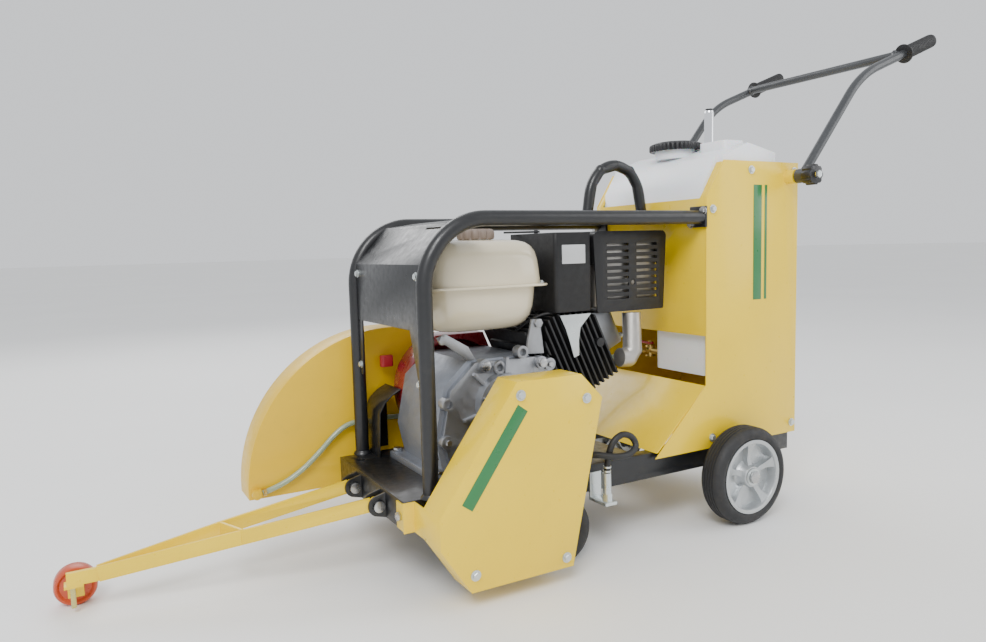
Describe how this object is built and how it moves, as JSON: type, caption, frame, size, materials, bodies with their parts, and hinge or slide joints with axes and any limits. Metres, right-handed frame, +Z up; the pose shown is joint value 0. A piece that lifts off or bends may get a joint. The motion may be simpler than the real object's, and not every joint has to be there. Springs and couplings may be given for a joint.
{
  "type": "walk-behind concrete saw",
  "caption": "Walk-behind concrete saw with yellow console, engine in a tube cage, belt and blade guards, fold-up cutting guide, water tank and handlebar.",
  "frame": {"origin": "middle of the object's footprint, on the ground", "axes": "+X forward along the cut, +Y to the machine's left, +Z up"},
  "size_m": [1.8537, 0.559, 1.0423],
  "materials": {
    "black_frame": "semi-gloss black powder coat",
    "yellow_paint": "gloss yellow paint",
    "bare_steel": "machined steel",
    "zinc_steel": "zinc plate",
    "cast_aluminium": "as cast",
    "cast_iron": "painted casting",
    "black_engine": "satin black",
    "muffler_steel": "heat-stained steel",
    "tank_cream": "gloss cream",
    "recoil_red": "gloss red",
    "red_plastic": "moulded",
    "black_plastic": "moulded",
    "fuel_cap_grey": "moulded",
    "white_tank": "translucent polyethylene",
    "tyre": "rubber",
    "wheel_rubber": "solid rubber",
    "pointer_red": "moulded",
    "hose_green": "clear green PVC",
    "handle_grey": "grey powder coat",
    "brass": "cast brass",
    "chrome": "polished",
    "dark_steel": "black oxide"
  },
  "bodies": {
    "root": {"base_frame": "black_frame", "cage_left": "black_frame", "cage_right": "black_frame", "front_cover": "black_frame", "lifting_arch": "black_frame", "console_shell": "yellow_paint", "console_front": "yellow_paint", "rear_axle": "bare_steel", "water_tank": "white_tank", "water_tap": "brass", "water_hose": "hose_green", "belt_guard": "yellow_paint", "bolts": "bare_steel", "drain_hose": "wheel_rubber", "drain_fitting": "zinc_steel", "shaft_bearings": "cast_iron", "shaft_cover": "black_frame", "v_belts": "wheel_rubber", "crankcase": "cast_aluminium", "side_cover": "cast_aluminium", "engine_cylinder": "black_engine", "rocker_cover": "cast_aluminium", "exhaust_elbow": "zinc_steel", "muffler": "muffler_steel", "muffler_guard": "black_engine", "control_bracket": "zinc_steel", "air_cleaner": "black_plastic", "carburettor": "cast_aluminium", "fuel_tank": "tank_cream", "tank_brackets": "cast_aluminium", "fan_housing": "recoil_red", "recoil_cover": "recoil_red"},
    "rear_wheel_left": {"rear_tyre_left": "tyre", "rear_hub_left": "cast_aluminium"},
    "rear_wheel_right": {"rear_tyre_right": "tyre", "rear_hub_right": "cast_aluminium"},
    "front_axle": {"front_axle_carriage": "black_frame"},
    "front_wheel_left": {"front_wheel_left": "wheel_rubber"},
    "front_wheel_right": {"front_wheel_right": "wheel_rubber"},
    "handlebar": {"handlebar": "handle_grey", "handle_grips": "wheel_rubber"},
    "handle_knob_left": {"handle_knob_left": "black_plastic"},
    "handle_knob_right": {"handle_knob_right": "black_plastic"},
    "pointer_arm": {"pointer_frame": "yellow_paint", "pointer_pin": "bare_steel"},
    "pointer_wheel": {"pointer_wheel": "pointer_red"},
    "blade_guard": {"blade_guard": "yellow_paint", "guard_nozzle": "yellow_paint"},
    "blade_spindle": {"blade_shaft": "bare_steel", "blade_flanges": "bare_steel", "driven_pulley": "cast_iron"},
    "engine_shaft": {"crankshaft": "bare_steel", "drive_pulley": "cast_iron"},
    "depth_crank": {"depth_crank": "dark_steel"},
    "depth_grip": {"depth_grip": "chrome"},
    "fuel_cap": {"fuel_cap": "fuel_cap_grey"},
    "water_cap": {"water_cap": "black_plastic"},
    "tap_lever": {"tap_lever": "red_plastic"},
    "throttle_lever": {"throttle_lever": "black_plastic"},
    "recoil_grip": {"recoil_grip": "red_plastic"}
  },
  "joints": [
    {"name": "rear_wheel_left_spin", "type": "hinge", "parent": "root", "child": "rear_wheel_left", "pos_m": [-0.308, 0.2285, 0.1], "axis": [0, 1, 0], "continuous": true},
    {"name": "rear_wheel_right_spin", "type": "hinge", "parent": "root", "child": "rear_wheel_right", "pos_m": [-0.308, -0.2055, 0.1], "axis": [0, 1, 0], "continuous": true},
    {"name": "front_axle_lift", "type": "hinge", "parent": "root", "child": "front_axle", "pos_m": [-0.008, 0.0115, 0.128], "axis": [0, 1, 0], "range_deg": [0, 25]},
    {"name": "front_wheel_left_spin", "type": "hinge", "parent": "front_axle", "child": "front_wheel_left", "pos_m": [0.127, 0.1955, 0.062], "axis": [0, 1, 0], "continuous": true},
    {"name": "front_wheel_right_spin", "type": "hinge", "parent": "front_axle", "child": "front_wheel_right", "pos_m": [0.127, -0.1725, 0.062], "axis": [0, 1, 0], "continuous": true},
    {"name": "handlebar_fold", "type": "hinge", "parent": "root", "child": "handlebar", "pos_m": [-0.48, 0.0115, 0.707], "axis": [0, 1, 0], "range_deg": [-20, 95]},
    {"name": "handle_knob_left_turn", "type": "hinge", "parent": "root", "child": "handle_knob_left", "pos_m": [-0.48, 0.2485, 0.707], "axis": [0, 1, 0], "range_deg": [0, 720]},
    {"name": "handle_knob_right_turn", "type": "hinge", "parent": "root", "child": "handle_knob_right", "pos_m": [-0.48, -0.2255, 0.707], "axis": [0, 1, 0], "range_deg": [0, 720]},
    {"name": "pointer_arm_fold", "type": "hinge", "parent": "root", "child": "pointer_arm", "pos_m": [0.43, 0.0115, 0.135], "axis": [0, -1, 0], "range_deg": [-4, 88]},
    {"name": "pointer_wheel_spin", "type": "hinge", "parent": "pointer_arm", "child": "pointer_wheel", "pos_m": [0.894, -0.1105, 0.033], "axis": [0, 1, 0], "continuous": true},
    {"name": "blade_guard_tilt", "type": "hinge", "parent": "root", "child": "blade_guard", "pos_m": [0.282, -0.2385, 0.105], "axis": [0, -1, 0], "range_deg": [-8, 12]},
    {"name": "blade_shaft_spin", "type": "hinge", "parent": "root", "child": "blade_spindle", "pos_m": [0.282, 0.0115, 0.105], "axis": [0, 1, 0], "continuous": true},
    {"name": "engine_shaft_spin", "type": "hinge", "parent": "root", "child": "engine_shaft", "pos_m": [0.187, 0.0115, 0.288], "axis": [0, 1, 0], "continuous": true},
    {"name": "depth_crank_turn", "type": "hinge", "parent": "root", "child": "depth_crank", "pos_m": [-0.48, 0.0115, 0.5], "axis": [0, 0, 1], "range_deg": [0, 750]},
    {"name": "depth_grip_spin", "type": "hinge", "parent": "depth_crank", "child": "depth_grip", "pos_m": [-0.489, -0.0475, 0.83], "axis": [0, 0, 1], "continuous": true},
    {"name": "fuel_cap_turn", "type": "hinge", "parent": "root", "child": "fuel_cap", "pos_m": [0.176, -0.0005, 0.6], "axis": [0, 0, 1], "range_deg": [0, 90]},
    {"name": "water_cap_turn", "type": "hinge", "parent": "root", "child": "water_cap", "pos_m": [-0.344, -0.0045, 0.79], "axis": [0, 0, 1], "range_deg": [0, 720]},
    {"name": "tap_lever_turn", "type": "hinge", "parent": "root", "child": "tap_lever", "pos_m": [-0.286, -0.0285, 0.347], "axis": [0, 0, 1], "range_deg": [0, 90]},
    {"name": "throttle_lever_turn", "type": "hinge", "parent": "root", "child": "throttle_lever", "pos_m": [0.032, -0.0085, 0.604], "axis": [0, 0, 1], "range_deg": [-20, 20]},
    {"name": "recoil_grip_pull", "type": "slide", "parent": "root", "child": "recoil_grip", "axis": [0.8, 0, 0.6], "range_m": [0, 0.3], "stiffness_N_per_m": 40, "springref_m": -0.02}
  ],
  "couplings": [
    {"joint": "engine_shaft_spin", "follows": "blade_shaft_spin", "ratio": 1.044},
    {"joint": "depth_crank_turn", "follows": "front_axle_lift", "ratio": 30}
  ]
}
